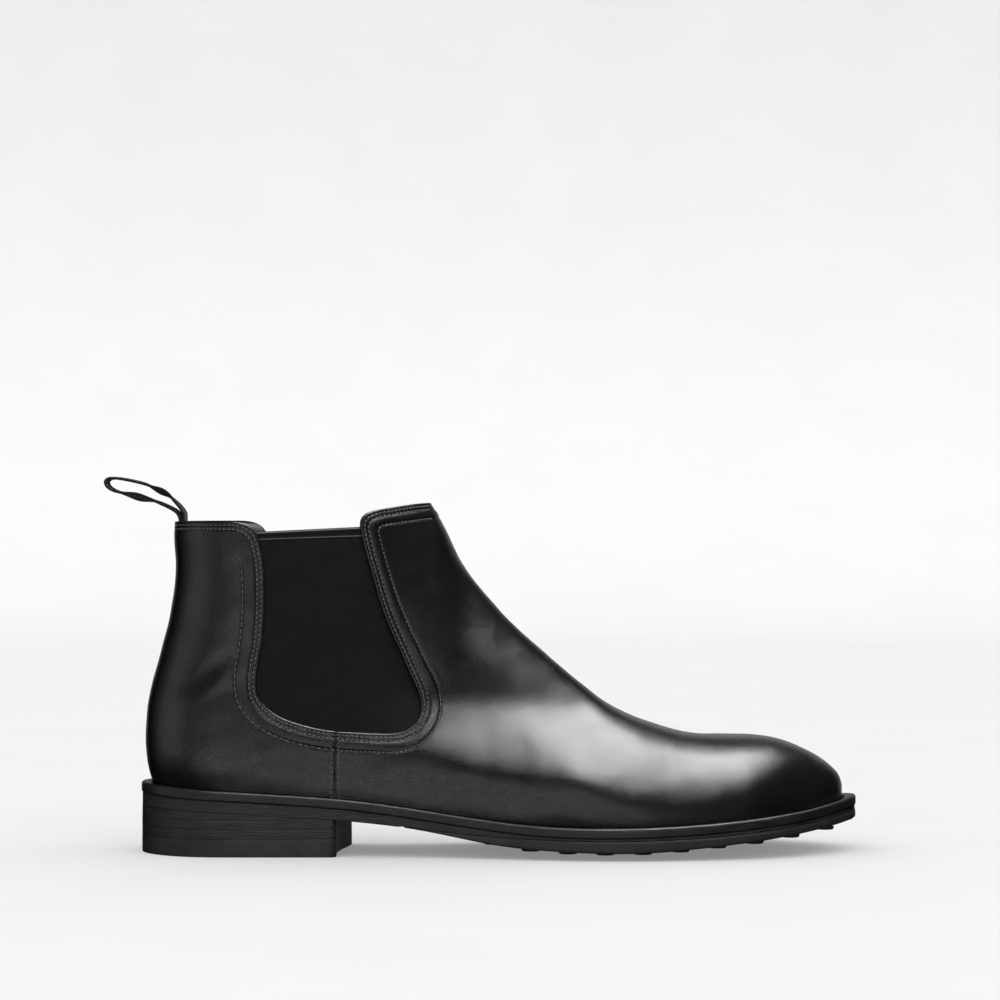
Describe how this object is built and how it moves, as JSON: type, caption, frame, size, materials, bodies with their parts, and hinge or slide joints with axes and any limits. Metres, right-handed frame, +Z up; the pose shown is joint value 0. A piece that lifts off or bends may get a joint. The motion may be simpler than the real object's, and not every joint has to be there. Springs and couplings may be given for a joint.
{
  "type": "chelsea boot",
  "caption": "Ankle boot with elastic side gores, rear pull loop, welted studded sole and low stacked heel; black leather.",
  "frame": {"origin": "on the ground at the middle of the heel's underside", "axes": "+X to the toe, +Z up, -Y to the lateral side of this right boot"},
  "size_m": [0.3206, 0.1066, 0.159],
  "materials": {
    "upper_leather": "polished fine grain",
    "elastic": "matt fine weave",
    "lining_leather": "matt",
    "leatherboard": "raw",
    "spring_steel": "rolled",
    "cork": "raw",
    "welt_leather": "waxed edge",
    "sole_leather": "inked and burnished edge",
    "sole_rubber": "matt",
    "nail_brass": "worn",
    "tape": "woven"
  },
  "bodies": {
    "boot": {"vamp": "upper_leather", "quarter_lateral": "upper_leather", "quarter_medial": "upper_leather", "gore_lateral": "elastic", "gore_medial": "elastic", "vamp_lining": "lining_leather", "quarter_lining": "lining_leather", "toe_puff": "leatherboard", "heel_counter": "leatherboard", "sock_liner": "lining_leather", "insole_board": "leatherboard", "shank": "spring_steel", "cork_filler": "cork", "welt": "welt_leather", "midsole": "sole_leather", "outsole": "sole_rubber", "heel_wedge": "sole_leather", "heel_lift_upper": "sole_leather", "heel_lift_lower": "sole_leather", "top_lift": "sole_rubber", "top_lift_nails": "nail_brass", "loop_root": "tape"},
    "loop": {"pull_loop": "tape"}
  },
  "joints": [
    {"name": "pull_loop_hinge", "type": "hinge", "parent": "boot", "child": "loop", "pos_m": [-0.0244, 0, 0.1427], "axis": [0, 1, 0], "range_deg": [-20, 110], "stiffness_Nm_per_rad": 0.03}
  ]
}
